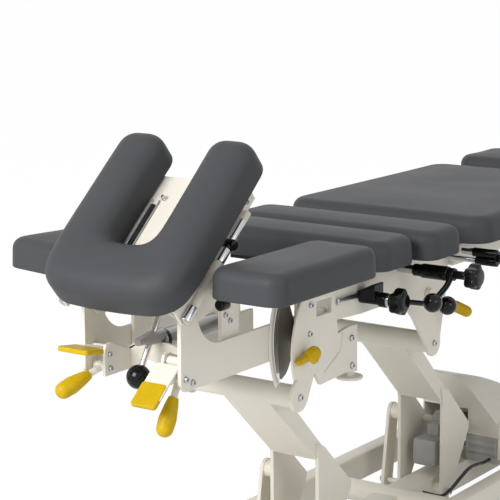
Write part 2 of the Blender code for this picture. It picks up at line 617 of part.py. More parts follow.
BACK_R = 0.5 * (ARM_TOP - ARM_LOW)
YOKE = [on_head(y, z) for y, z in
        arc(TILT, BACK_R, -90, 90, 8) + arc((-0.530, ARM_TOP + 0.070), 0.070, -90, -168, 7)
        + arc((HINGE[0] - 0.022, HINGE[1]), 0.022, 30, 150, 6)
        + [(YOKE_FRONT, HINGE[1]), (YOKE_FRONT, ARM_LOW + 0.014), (YOKE_FRONT + 0.014, ARM_LOW)]]
YOKE_IN = YOKE_X - YOKE_T / 2
YOKE_OUT = YOKE_X + YOKE_T / 2
SECTOR = arc((0, 0), SECTOR_R, 152, 208, 12) + arc((0, 0), SECTOR_R - SECTOR_W, 208, 152, 12)
for side, sign in SIDES:
    yoke = side_plate(f"yoke_plate_{side}", YOKE, sign * YOKE_IN, sign * YOKE_OUT, head, WHITE)
    combine(yoke, "UNION", rod(f"tilt_boss_{side}", (sign * YOKE_X, 0, 0), (sign * BRIDGE_X, 0, 0), 0.024,
                               head, None, 24))
    side_plate(f"tilt_sector_{side}", SECTOR, sign * (YOKE_OUT + GAP), sign * (YOKE_OUT + 0.0065), head,
               STEEL)

FRONT_Y, FRONT_LOW = on_head(YOKE_FRONT + 0.085, ARM_LOW + 0.004)
FRONT_T = 0.006
FRONT_X = YOKE_IN - GAP
crown = [(0.82 * FRONT_X * math.cos(k * math.pi / 12), FRONT_LOW + 0.014 + 0.046 * math.sin(k * math.pi / 12))
         for k in range(1, 12)]
ARCH = ([(FRONT_X, FRONT_LOW), (FRONT_X, FRONT_LOW + 0.026)] + crown
        + [(-FRONT_X, FRONT_LOW + 0.026), (-FRONT_X, FRONT_LOW)] + arc((-0.020, FRONT_LOW), 0.022, 180, 0, 8))
front_plate = plate("yoke_front_plate", ARCH, FRONT_T, (0, FRONT_Y, 0), UPRIGHT, head, WHITE)
BRACKET_X = 0.069
BRACKET_T = 0.006
PADDLE = on_head(YOKE_FRONT + 0.022, -0.152)
HAND = on_head(YOKE_FRONT + 0.028, -0.186)
BRACKET = [(FRONT_Y, FRONT_LOW), (FRONT_Y, FRONT_LOW + 0.036), (PADDLE[0] + 0.002, PADDLE[1] + 0.014),
           (PADDLE[0] - 0.012, PADDLE[1] + 0.012), (PADDLE[0] - 0.016, PADDLE[1]),
           (PADDLE[0] - 0.016, FRONT_LOW)]
combine(front_plate, "UNION",
        *(side_plate(f"lever_bracket_{side}", BRACKET, sign * BRACKET_X, sign * (BRACKET_X - BRACKET_T),
                     head, None) for side, sign in SIDES))
TUBE_Z = on_head(0, -0.137)[1]
rod("spring_tube", (0, FRONT_Y + FRONT_T / 2 + GAP, TUBE_Z), (0, on_head(-0.390, 0)[0], TUBE_Z), 0.0185,
    head, STEEL, sides=24)

# Four sprung levers between the front plate's brackets and the yoke plates
STEM_IN = BRACKET_X + GAP
STEM_OUT = YOKE_IN - GAP


def paddle(side, sign, droop, length, grip_in):
    """A flat foot or hand paddle: a narrow stem on its hub, then a wider yellow end from grip_in outwards."""
    axis = joint(f"paddle_{side}_axis", (0, *PADDLE), (math.radians(droop), 0, 0), head)
    stem = sorted((sign * STEM_IN, sign * STEM_OUT))
    made = rod(f"paddle_{side}", (stem[0], 0, 0), (stem[1], 0, 0), 0.009, axis, YELLOW)
    arm = box(f"paddle_arm_{side}", (stem[0], -length + 0.020, 0.002), (stem[1], 0, 0.007), axis, None)
    wide = sorted((sign * grip_in, sign * 0.102))
    grip = box(f"paddle_grip_{side}", (wide[0], -length, 0), (wide[1], -length + 0.052, 0.009), axis, None,
               edge=0.003)
    combine(made, "UNION", arm, grip)


def hand_lever(side, sign, droop, slant):
    """A round lever with a long drop-shaped grip, slanted outwards by slant."""
    axis = joint(f"drop_lever_{side}_axis", (0, *HAND), (math.radians(droop), 0, 0), head)
    hub = sorted((sign * STEM_IN, sign * STEM_OUT))
    x = sign * (STEM_IN + STEM_OUT) / 2
    made = rod(f"drop_lever_{side}", (hub[0], 0, 0), (hub[1], 0, 0), 0.009, axis, YELLOW)
    reach = Vector((slant, -1, 0)).normalized()
    start = Vector((x, 0, 0))
    arm = rod(f"drop_arm_{side}", start, start + reach * 0.046, 0.006, axis, None, 12)
    grip = rod(f"drop_grip_{side}", start + reach * 0.036, start + reach * 0.090, 0.0078, axis, None, 16,
               end_radius=0.0155)
    tip = ball(f"drop_tip_{side}", start + reach * 0.090, 0.0165, axis, None)
    combine(made, "UNION", arm, grip, tip)


paddle("left", -1, -8, 0.105, 0.033)
paddle("right", 1, 40, 0.108, 0.048)
hand_lever("left", -1, 22, -0.30)
hand_lever("right", 1, 66, -0.05)

# The headrest: a flanged tray on two lugs with its guide rods, a sliding U pad and a clamp lever
tray_axis = joint("headrest_axis", (0, *on_head(*HINGE)), (HEAD_TILT, 0, 0), head)
PAD_LOW = PAD_TOP - PAD_T
TRAY_TOP = PAD_LOW - GAP
TRAY_START = -0.045
tray = box("headrest_tray", (-TRAY_X, TRAY_START, TRAY_TOP - TRAY_T), (TRAY_X, TRAY_END, TRAY_TOP), tray_axis,
           WHITE)
SHAFT_AT = (0.060, -0.025)              # clamp lever's cross shaft, along and square to the tray
LUG_PLATE = ([(-0.040, TRAY_TOP - TRAY_T / 2)] + arc((0, 0), 0.018, 195, 270, 5)
             + arc(SHAFT_AT, 0.016, 270, 375, 6) + [(0.115, TRAY_TOP - TRAY_T / 2)])
SHAFT_R = 0.008
for side, sign in SIDES:
    wall = sorted((sign * TRAY_X, sign * (TRAY_X - TRAY_T)))
    flange = box(f"tray_flange_{side}", (wall[0], TRAY_START, TRAY_TOP - FLANGE_H),
                 (wall[1], TRAY_END, TRAY_TOP - TRAY_T / 2), tray_axis, None)
    lug_plate = side_plate(f"tray_lug_{side}", LUG_PLATE, sign * (FRONT_X - 0.006), sign * FRONT_X,
                           tray_axis, None)
    rod_x = sign * (TRAY_X + ROD_R - 0.002)
    rod_z = TRAY_TOP - FLANGE_H + 0.006
    guide = rod(f"tray_rod_{side}", (rod_x, TRAY_START + 0.004, rod_z), (rod_x, TRAY_END - 0.040, rod_z),
                ROD_R, tray_axis, None, 16)
    combine(tray, "UNION", flange, lug_plate, guide)
combine(tray, "UNION", rod("tray_shaft", (-FRONT_X + 0.003, *SHAFT_AT), (FRONT_X - 0.003, *SHAFT_AT), SHAFT_R,
                           tray_axis, None, 16))

pad_axis = joint("headrest_slide", (0, PAD_MID, PAD_TOP), parent=tray_axis)
HALF_SLOT = SLOT_W / 2
HALF_PAD = PAD_W / 2
HALF_L = PAD_L / 2
CLOSED = -HALF_L + 0.122                # bottom of the slot
STATIONS = (((0.0, CLOSED), (0.0, -HALF_L - 0.004)),
            ((0.036, CLOSED + 0.006), (0.080, -HALF_L - 0.002)),
            ((HALF_SLOT, CLOSED + 0.040), (HALF_PAD - 0.004, -HALF_L + 0.016)),
            ((HALF_SLOT, CLOSED + 0.110), (HALF_PAD + 0.002, -0.060)),
            ((HALF_SLOT, 0.120), (HALF_PAD + 0.001, 0.090)),
            ((HALF_SLOT + 0.006, HALF_L - 0.016), (HALF_PAD - 0.006, HALF_L - 0.016)),
            ((HALF_SLOT + 0.030, HALF_L + 0.008), (HALF_PAD - 0.030, HALF_L + 0.008)))


def headrest_pad():
    """Half of a U-shaped pad: stations across the limb from the slot to the outside, mirrored."""
    bm = bmesh.new()
    rows = []
    for inner, outer in STATIONS:
        inner, outer = Vector(inner), Vector(outer)
        middle = (inner + outer) / 2
        inset = (outer - inner).normalized() * 0.006
        upper = [bm.verts.new((*inner, 0)), bm.verts.new((*middle, CROWN)), bm.verts.new((*outer, 0))]
        lower = [bm.verts.new((*(inner + inset), -PAD_T)), bm.verts.new((*middle, -PAD_T)),
                 bm.verts.new((*(outer - inset), -PAD_T))]
        rows.append((upper, lower))
    for (up, low), (next_up, next_low) in zip(rows, rows[1:]):
        for k in range(2):
            bm.faces.new((up[k], up[k + 1], next_up[k + 1], next_up[k]))
            bm.faces.new((low[k], next_low[k], next_low[k + 1], low[k + 1]))
        bm.faces.new((up[0], next_up[0], next_low[0], low[0]))
        bm.faces.new((up[2], low[2], next_low[2], next_up[2]))
    tip_up, tip_low = rows[-1]
    for k in range(2):
        bm.faces.new((tip_up[k], tip_up[k + 1], tip_low[k + 1], tip_low[k]))
    crease_floor(bm, -PAD_T)
    made = piece("headrest_pad", mesh_from("headrest_pad", bm), (0, 0, 0), (0, 0, 0), pad_axis, VINYL)
    halves = made.modifiers.new("halves", "MIRROR")
    halves.merge_threshold = 0.0001
    soften(made)


headrest_pad()
clamp_axis = joint("headrest_lever_axis", (0, *SHAFT_AT), parent=tray_axis)
grip_end = Matrix.Rotation(-HEAD_TILT, 3, "X") @ Vector((0, -0.627 - HINGE[0], -0.193 - HINGE[1]))
grip_end = grip_end - Vector((0, *SHAFT_AT))
grip = rod("headrest_lever", (-0.014, 0, 0), (0.014, 0, 0), 0.014, clamp_axis, CHROME)
combine(grip, "UNION", rod("headrest_lever_rod", grip_end * 0.06, grip_end, 0.0055, clamp_axis, None, 16),
        ball("headrest_lever_ball", grip_end, BALL_R, clamp_axis, None))
combine(grip, "DIFFERENCE", rod("headrest_lever_bore", (-0.05, 0, 0), (0.05, 0, 0), SHAFT_R + RUN, clamp_axis,
                                None, 16))

# Armrests: a bracket that slides up the yoke plate's inner face, and a pad that swings on its shelf
for side, sign in SIDES:
    swing = LEFT_SWING if side == "left" else 0.0
    y, z = on_head(REST_PIVOT[1], REST_TOP - REST_SIZE[2])
    lift_axis = joint(f"armrest_slide_{side}", (sign * REST_PIVOT[0], y, z), parent=head)
    inner = sign * (FRONT_X - 0.008 - REST_PIVOT[0])
    outer = sign * (FRONT_X - REST_PIVOT[0])
    over = sign * (YOKE_OUT + GAP - REST_PIVOT[0])
    far = sign * 0.040
    bracket = box(f"armrest_bracket_{side}", (min(inner, outer), 0.020, -0.150),
                  (max(inner, outer), 0.075, -GAP), lift_axis, WHITE)
    combine(bracket, "UNION",
            box(f"armrest_neck_{side}", (min(inner, over + sign * 0.004) + 0.001, 0.021, -0.013),
                (max(inner, over + sign * 0.004) - 0.001, 0.074, -GAP), lift_axis, None),
            box(f"armrest_shelf_{side}", (min(over, far), -0.027, -0.012), (max(over, far), 0.0735, -GAP),
                lift_axis, None))
    swing_axis = joint(f"armrest_swing_{side}", (0, 0, 0), (0, 0, swing), lift_axis)
    cushion(f"armrest_pad_{side}", REST_SIZE, 0.034,
            (sign * (REST_MID[0] - REST_PIVOT[0]), REST_MID[1] - REST_PIVOT[1], REST_SIZE[2]), swing_axis,
            wall_rows=1)
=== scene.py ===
"""Looks of an electric treatment table: paint, upholstery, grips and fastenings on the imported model.

Metres, in the model's own frame: +Y runs from the head end to the foot end and the floor is Z = 0.
Places on the table are given from the top of the seam between the thoracic and lumbar cushions.
"""

import json
import math

import bmesh
import bpy
import numpy as np
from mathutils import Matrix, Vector

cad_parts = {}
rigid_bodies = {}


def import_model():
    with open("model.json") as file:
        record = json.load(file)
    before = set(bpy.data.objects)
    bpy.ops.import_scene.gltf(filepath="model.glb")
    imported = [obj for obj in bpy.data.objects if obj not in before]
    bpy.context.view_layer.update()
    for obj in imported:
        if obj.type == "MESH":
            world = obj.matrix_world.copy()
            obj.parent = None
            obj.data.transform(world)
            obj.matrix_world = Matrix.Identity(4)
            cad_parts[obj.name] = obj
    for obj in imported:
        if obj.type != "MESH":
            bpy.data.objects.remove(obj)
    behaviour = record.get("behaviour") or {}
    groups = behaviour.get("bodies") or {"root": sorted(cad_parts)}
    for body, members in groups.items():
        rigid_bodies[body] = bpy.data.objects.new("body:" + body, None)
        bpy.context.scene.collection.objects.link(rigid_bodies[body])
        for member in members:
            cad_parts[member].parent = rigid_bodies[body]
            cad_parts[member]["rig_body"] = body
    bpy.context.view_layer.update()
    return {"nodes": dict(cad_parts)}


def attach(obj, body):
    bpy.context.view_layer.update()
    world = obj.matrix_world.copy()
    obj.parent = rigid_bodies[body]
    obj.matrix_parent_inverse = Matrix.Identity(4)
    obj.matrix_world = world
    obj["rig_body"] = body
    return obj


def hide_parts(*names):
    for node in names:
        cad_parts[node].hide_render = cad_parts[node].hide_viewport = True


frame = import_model()
nodes = frame["nodes"]

# The studio: a pale floor that keeps the table's shadow, a white surround and broad soft lamps.
# The camera stands off the right corner of the head end, a little above the cushions.
SEAM = np.array((-0.0002, -0.2306, 0.750))
FLOOR_Z = -SEAM[2]
AZIMUTH, ELEVATION = math.radians(34.42), math.radians(10.82)
SENSOR_MM, LENS_MM = 36.0, 129.2
CAMERA_FROM_SEAM, LAMP_AIM = (1.9311, -3.0910, 0.6362), Vector((0, -0.2, 0.6))
FLOOR_REACH = 60.0
FILL = 0.47
WHITE_SHARE, WHITE_GLOW = 0.90, 1.05
camera = bpy.data.objects.new("camera", bpy.data.cameras.new("camera"))
camera.data.sensor_width = SENSOR_MM
camera.data.lens = LENS_MM
camera.location = SEAM + CAMERA_FROM_SEAM
sight = Vector((-math.sin(AZIMUTH) * math.cos(ELEVATION), math.cos(AZIMUTH) * math.cos(ELEVATION),
                -math.sin(ELEVATION)))
camera.rotation_euler = sight.to_track_quat("-Z", "Y").to_euler()
bpy.context.scene.collection.objects.link(camera)
bpy.context.scene.camera = camera
bpy.context.scene.view_settings.view_transform = "Standard"

for lamp_name, place, size, power in (("front_lamp", (-0.7, -4.4, 2.7), 2.2, 195),
                                      ("side_lamp", (3.8, -1.2, 2.2), 2.0, 30),
                                      ("back_lamp", (-1.4, 3.2, 3.8), 2.6, 12)):
    lamp = bpy.data.objects.new(lamp_name, bpy.data.lights.new(lamp_name, "AREA"))
    lamp.data.size = size
    lamp.data.energy = power
    lamp.location = place
    lamp.rotation_euler = (LAMP_AIM - Vector(place)).to_track_quat("-Z", "Y").to_euler()
    bpy.context.scene.collection.objects.link(lamp)


def seen_white(tree):
    """A value that is 1 where a camera, glossy or transmitted ray arrives, and 0 for light on the table."""
    path = tree.nodes.new("ShaderNodeLightPath")
    total = path.outputs["Is Camera Ray"]
    for ray in ("Is Glossy Ray", "Is Transmission Ray"):
        both = tree.nodes.new("ShaderNodeMath")
        both.operation = "MAXIMUM"
        tree.links.new(total, both.inputs[0])
        tree.links.new(path.outputs[ray], both.inputs[1])
        total = both.outputs[0]
    return total


world = bpy.data.worlds.new("studio")
world.use_nodes = True
bpy.context.scene.world = world
surround = world.node_tree
fill_light = surround.nodes["Background"]
fill_light.inputs["Color"].default_value = (1.0, 1.0, 1.0, 1.0)
fill_light.inputs["Strength"].default_value = FILL
white_wall = surround.nodes.new("ShaderNodeBackground")
white_wall.inputs["Color"].default_value = (1.0, 1.0, 1.0, 1.0)
choose = surround.nodes.new("ShaderNodeMixShader")
surround.links.new(seen_white(surround), choose.inputs[0])
surround.links.new(fill_light.outputs[0], choose.inputs[1])
surround.links.new(white_wall.outputs[0], choose.inputs[2])
surround.links.new(choose.outputs[0], surround.nodes["World Output"].inputs["Surface"])

floor_mesh = bpy.data.meshes.new("floor")
floor_mesh.from_pydata([(FLOOR_REACH * x, FLOOR_REACH * y, 0) for x, y in ((-1, -1), (1, -1), (1, 1), (-1, 1))], [],
                       [(0, 1, 2, 3)])
floor = bpy.data.objects.new("floor", floor_mesh)
bpy.context.scene.collection.objects.link(floor)
floor_paint = bpy.data.materials.new("pale_floor")
floor_paint.use_nodes = True
floor_tree = floor_paint.node_tree
floor_tree.nodes["Principled BSDF"].inputs["Base Color"].default_value = (0.88, 0.88, 0.88, 1.0)
floor_tree.nodes["Principled BSDF"].inputs["Roughness"].default_value = 0.9
glow = floor_tree.nodes.new("ShaderNodeEmission")
glow.inputs["Strength"].default_value = WHITE_GLOW
share = floor_tree.nodes.new("ShaderNodeMath")
share.operation = "MULTIPLY"
share.inputs[1].default_value = WHITE_SHARE
floor_mix = floor_tree.nodes.new("ShaderNodeMixShader")
floor_tree.links.new(seen_white(floor_tree), share.inputs[0])
floor_tree.links.new(share.outputs[0], floor_mix.inputs[0])
floor_tree.links.new(floor_tree.nodes["Principled BSDF"].outputs[0], floor_mix.inputs[1])
floor_tree.links.new(glow.outputs[0], floor_mix.inputs[2])
floor_tree.links.new(floor_mix.outputs[0], floor_tree.nodes["Material Output"].inputs["Surface"])
floor_mesh.materials.append(floor_paint)


# The base: welded steel rails, bars and a spine under warm white powder coat, on rubber feet.
# The coat has a faint orange peel and its laser-cut edges are eased, so they catch the light.
def finish(name, colour, drift, patch, rough, grain, depth, metallic=0.0, shine=0.5):
    """A procedural finish. Colour and roughness drift in cloudy patches; a fine grain raises the surface.

    drift is the share by which colour and roughness vary, patch and grain are sizes in metres, depth is
    the grain's height in metres, and shine is how strongly a surface that isn't metal mirrors.
    """
    made = bpy.data.materials.new(name)
    made.use_nodes = True
    tree = made.node_tree
    shader = tree.nodes["Principled BSDF"]
    shader.inputs["Metallic"].default_value = metallic
    shader.inputs["Specular IOR Level"].default_value = shine
    place = tree.nodes.new("ShaderNodeTexCoord")
    cloud = tree.nodes.new("ShaderNodeTexNoise")
    cloud.inputs["Scale"].default_value = 1 / patch
    cloud.inputs["Detail"].default_value = 5.0
    tree.links.new(place.outputs["Object"], cloud.inputs["Vector"])
    tint = tree.nodes.new("ShaderNodeValToRGB")
    for stop, place_on_ramp, share_of in zip(tint.color_ramp.elements, (0.30, 0.70), (1 - drift, 1 + drift)):
        stop.position = place_on_ramp
        stop.color = (*(min(1.0, part * share_of) for part in colour), 1.0)
    tree.links.new(cloud.outputs["Fac"], tint.inputs["Fac"])
    tree.links.new(tint.outputs["Color"], shader.inputs["Base Color"])
    gloss = tree.nodes.new("ShaderNodeMapRange")
    gloss.inputs["From Min"].default_value = 0.3
    gloss.inputs["From Max"].default_value = 0.7
    gloss.inputs["To Min"].default_value = rough * (1 - 2 * drift)
    gloss.inputs["To Max"].default_value = rough * (1 + 2 * drift)
    tree.links.new(cloud.outputs["Fac"], gloss.inputs["Value"])
    tree.links.new(gloss.outputs["Result"], shader.inputs["Roughness"])
    speck = tree.nodes.new("ShaderNodeTexNoise")
    speck.inputs["Scale"].default_value = 1 / grain
    speck.inputs["Detail"].default_value = 2.0
    tree.links.new(place.outputs["Object"], speck.inputs["Vector"])
    raise_by = tree.nodes.new("ShaderNodeBump")
    raise_by.inputs["Distance"].default_value = depth
    tree.links.new(speck.outputs["Fac"], raise_by.inputs["Height"])
    tree.links.new(raise_by.outputs["Normal"], shader.inputs["Normal"])
    return made


def dressed(node, material, edge=0.0012, crisp=30):
    """A CAD node with its triangles joined into whole faces and its sharp edges eased by edge."""
    whole = bmesh.new()
    whole.from_mesh(nodes[node].data)
    bmesh.ops.remove_doubles(whole, verts=whole.verts, dist=1e-5)
    bmesh.ops.dissolve_limit(whole, angle_limit=math.radians(0.5), verts=whole.verts, edges=whole.edges)
    shell = bpy.data.meshes.new(node + "_shell")
    whole.to_mesh(shell)
    whole.free()
    shell.materials.append(material)
    shell.shade_smooth()
    shell.set_sharp_from_angle(angle=math.radians(crisp))
    made = bpy.data.objects.new(node + "_shell", shell)
    bpy.context.scene.collection.objects.link(made)
    if edge:
        eased = made.modifiers.new("eased_edge", "BEVEL")
        eased.width = edge
        eased.segments = 2
        eased.limit_method = "ANGLE"
        eased.angle_limit = math.radians(crisp)
        eased.harden_normals = True
    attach(made, nodes[node]["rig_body"])
    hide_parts(node)


white_coat = finish("white_powder_coat", (0.735, 0.700, 0.615), 0.02, 0.16, 0.40, 0.0012, 0.00006, shine=0.35)
foot_rubber = finish("foot_rubber", (0.022, 0.022, 0.023), 0.15, 0.02, 0.7, 0.0008, 0.00010, shine=0.3)
for node in ("base_rail_left", "base_rail_right", "base_spine_front", "base_spine_rear", "base_bar_foot"):
    dressed(node, white_coat)
for end in ("head", "foot"):
    for side in ("left", "right"):
        dressed(f"levelling_foot_{end}_{side}", foot_rubber, edge=0.0015)


# Socket-head bolts hold the pivots, plates and brackets: bright zinc, a domed rim round a hex socket.
# Each is turned from one profile, and the bolts of one body are one piece.
def skin(name, sheets, body, material, crisp=35):
    """One piece from grids of points (rows, columns, 3), each closed round its columns."""
    points = np.concatenate([sheet.reshape(-1, 3) for sheet in sheets])
    faces, start = [], 0
    for sheet in sheets:
        rows, columns = sheet.shape[:2]
        index = start + np.arange(rows * columns).reshape(rows, columns)
        after = np.roll(index, -1, axis=1)
        faces.append(np.stack([index[:-1], after[:-1], after[1:], index[1:]], -1).reshape(-1, 4))
        start += rows * columns
    return closed_piece(name, points, np.concatenate(faces), body, material, crisp)


def closed_piece(name, points, faces, body, material, crisp=35):
    """A piece from points and four-cornered faces, its seams and poles joined, smooth up to crisp degrees."""
    mesh = bpy.data.meshes.new(name)
    mesh.from_pydata(points.tolist(), [], faces.tolist())
    closed = bmesh.new()
    closed.from_mesh(mesh)
    bmesh.ops.remove_doubles(closed, verts=closed.verts, dist=1e-6)
    bmesh.ops.recalc_face_normals(closed, faces=closed.faces)
    closed.to_mesh(mesh)
    closed.free()
    mesh.materials.append(material)
    mesh.shade_smooth()
    mesh.set_sharp_from_angle(angle=math.radians(crisp))
    made = bpy.data.objects.new(name, mesh)
    bpy.context.scene.collection.objects.link(made)
    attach(made, body)
    return made


def turned(profile, start, end, sides=28, lobes=None):
    """A turned form: at each profile row (distance along the axis, radius) a ring round the line from
    start towards end. lobes, a function of the angle, scales the radius of every row."""
    start, end = np.asarray(start, float), np.asarray(end, float)
    axis = (end - start) / np.linalg.norm(end - start)
    across = np.cross(axis, (0.0, 0.0, 1.0) if abs(axis[2]) < 0.9 else (1.0, 0.0, 0.0))
    across /= np.linalg.norm(across)
    angle = np.arange(sides) * 2 * np.pi / sides
    ring = np.cos(angle)[:, None] * across + np.sin(angle)[:, None] * np.cross(axis, across)
    along, radius = np.asarray(profile, float).T
    radius = radius[:, None] * (np.ones(sides) if lobes is None else lobes(angle))
    return SEAM + start + along[:, None, None] * axis + radius[:, :, None] * ring


def bolt_heads(name, body, places, outward, radius=0.0062):
    """Socket heads: the rim's rows are round, and the socket's rows follow a hexagon."""
    sides = 24
    angle = np.arange(sides) * 2 * np.pi / sides
    hexagon = math.cos(math.pi / 6) / np.cos(angle % (math.pi / 3) - math.pi / 6)
    heads = []
    for place in places:
        rim = turned([(0, 0), (0, 1.25 * radius), (0.16 * radius, 1.25 * radius), (0.16 * radius, radius),
                      (0.55 * radius, radius), (0.74 * radius, 0.86 * radius), (0.80 * radius, 0.66 * radius)],
                     place, np.add(place, outward), sides)
        socket = turned([(0.80 * radius, 0.60 * radius), (0.30 * radius, 0.60 * radius), (0.30 * radius, 0)],
                        place, np.add(place, outward), sides, lobes=lambda a: hexagon)
        heads.append(np.concatenate([rim, socket]))
    skin(name, heads, body, zinc, crisp=40)


zinc = finish("bright_zinc", (0.50, 0.50, 0.51), 0.08, 0.01, 0.24, 0.0009, 0.00002, metallic=1.0)
FRONT_FOOT_Y, REAR_FOOT_Y, LOWER_PIVOT_Z = -0.087, 0.445, FLOOR_Z + 0.058
FORK_FACE, STRUT_FACE, PIVOT_BOLT_R = 0.0655, -0.110, 0.0075
for name, y in (("front_fork_bolts", FRONT_FOOT_Y), ("rear_fork_bolts", REAR_FOOT_Y)):
    bolt_heads(name, "base", [(FORK_FACE, y, LOWER_PIVOT_Z)], (1, 0, 0), PIVOT_BOLT_R)
bolt_heads("strut_bolts", "base", [(STRUT_FACE, y, LOWER_PIVOT_Z) for y in (FRONT_FOOT_Y, REAR_FOOT_Y)], (-1, 0, 0),
           PIVOT_BOLT_R)

# The hood is a folded white cover over the drive. The control box under it is ribbed grey plastic,
# and its black lead runs forward to the side of the spine, where it goes in.
dressed("actuator_hood", white_coat, edge=0.0010)
grey_housing = finish("grey_housing", (0.45, 0.44, 0.41), 0.06, 0.05, 0.5, 0.0010, 0.00005, shine=0.3)
dressed("control_box", grey_housing)
lead_jacket = finish("lead_jacket", (0.030, 0.030, 0.032), 0.15, 0.02, 0.5, 0.0007, 0.00003, shine=0.3)
LEAD_R = 0.004
LEAD_ROUTE = np.array(((0.090, 0.5997, 0.100), (0.090, 0.570, 0.100), (0.095, 0.525, 0.108),
                       (0.100, 0.475, 0.112), (0.098, 0.435, 0.098), (0.090, 0.405, 0.078),
                       (0.076, 0.386, 0.066), (0.0303, 0.386, 0.066))) + (0, 0, FLOOR_Z)


def smooth_path(route, steps):
    """A Catmull-Rom curve through the route's points: each span is a cubic through its ends whose slopes
    are half the difference of the points on either side."""
    padded_route = np.concatenate([[2 * route[0] - route[1]], route, [2 * route[-1] - route[-2]]])
    t = np.linspace(0, 1, steps, endpoint=False)[None, :, None]
    a, b, c, d = (padded_route[k:len(padded_route) - 3 + k, None] for k in range(4))
    spans = 0.5 * (2 * b + (c - a) * t + (2 * a - 5 * b + 4 * c - d) * t**2 + (3 * b - a - 3 * c + d) * t**3)
    return np.concatenate([spans.reshape(-1, route.shape[1]), route[-1:]])


def tube(path, radius, sides=16):
    """A round tube: a circle carried along the path, square to it, with both ends closed to a point."""
    ahead = np.gradient(path, axis=0)
    ahead /= np.linalg.norm(ahead, axis=1, keepdims=True)
    across = np.cross(ahead, (0.0, 0.0, 1.0))
    across /= np.linalg.norm(across, axis=1, keepdims=True)
    angle = np.arange(sides) * 2 * np.pi / sides
    ring = (np.cos(angle)[None, :, None] * across[:, None]
            + np.sin(angle)[None, :, None] * np.cross(ahead, across)[:, None])
    body = SEAM + path[:, None] + radius * ring
    caps = [np.repeat((SEAM + path[k])[None, None], sides, axis=1) for k in (0, -1)]
    return np.concatenate([caps[0], body, caps[1]])


lead_path = smooth_path(LEAD_ROUTE, 5)
lead = skin("control_lead_jacket", [tube(lead_path, LEAD_R)], "base", lead_jacket)
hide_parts("control_lead")

# The legs are welded from a slanted box column, a cross tube and fork plates, all under the same coat.
# The drive between them is a grey tube with a motor, and a chromed rod.
for node in ("rear_leg", "front_leg"):
    dressed(node, white_coat, edge=0.0014)
motor_paint = finish("motor_paint", (0.32, 0.32, 0.305), 0.08, 0.04, 0.48, 0.0010, 0.00005, shine=0.3)
dressed("actuator_body", motor_paint)
bright_chrome = finish("bright_chrome", (0.62, 0.62, 0.63), 0.03, 0.03, 0.10, 0.0020, 0.000004, metallic=1.0)
dressed("actuator_rod", bright_chrome, edge=0.0008)

# The lifted frame: laser-cut side panels with ears on the legs, box rails to the foot, and bridges.
# A flat round buffer hangs under the guard at the front of each side panel.
for node in ("hull_panel_left", "hull_panel_right", "seat_rail_left", "seat_rail_right", "thoracic_bridge",
             "lumbar_bridge", "pelvic_bridge", "quadrant_plate_left", "quadrant_plate_right"):
    dressed(node, white_coat)
SIDES = (("left", -1), ("right", 1))
PANEL_FACE, PLATE_FACE, PLATE_BOLT_R = 0.1300, 0.1495, 0.0056
EAR_BOLTS, GUARD_BOLTS = ((-0.292, -0.288), (0.240, -0.288)), ((-0.105, -0.2075), (-0.102, -0.2645))
PLATE_BOLTS = ((-0.287, -0.105), (-0.290, -0.160))
BUFFER_AT = (0.1180, -0.092, -0.2780)
BUFFER = ((0, 0), (0, 0.009), (0.010, 0.009), (0.011, 0.0270), (0.0125, 0.0280), (0.0150, 0.0280),
          (0.0165, 0.0265), (0.0165, 0))
for side, sign in SIDES:
    bolt_heads(f"panel_bolts_{side}", "platform", [(sign * PANEL_FACE, y, z) for y, z in EAR_BOLTS + GUARD_BOLTS],
               (sign, 0, 0))
    bolt_heads(f"quadrant_plate_bolts_{side}", "platform", [(sign * PLATE_FACE, y, z) for y, z in PLATE_BOLTS],
               (sign, 0, 0), PLATE_BOLT_R)
    buffer_at = np.multiply(BUFFER_AT, (sign, 1, 1))
    buffer = turned(BUFFER, buffer_at, buffer_at - (0, 0, 1), 40)
    skin(f"guard_buffer_{side}", [buffer], "platform", white_coat)

# The cushions: firm foam on boards under smooth dark grey vinyl, drawn tight round the rim.
# The foam is cut a little small. The cover swells over it, and is pulled in where it is stapled to the board.
vinyl_cover = finish("grey_vinyl", (0.054, 0.056, 0.060), 0.04, 0.13, 0.52, 0.0011, 0.00006, shine=0.16)
board_black = finish("board_black", (0.020, 0.020, 0.020), 0.12, 0.04, 0.72, 0.0012, 0.00008, shine=0.3)
SWELL, STAPLED = 0.005, 0.005
PRESSURE, CLOTH_STEPS, EVENING_PASSES = 4.0, 20, 60


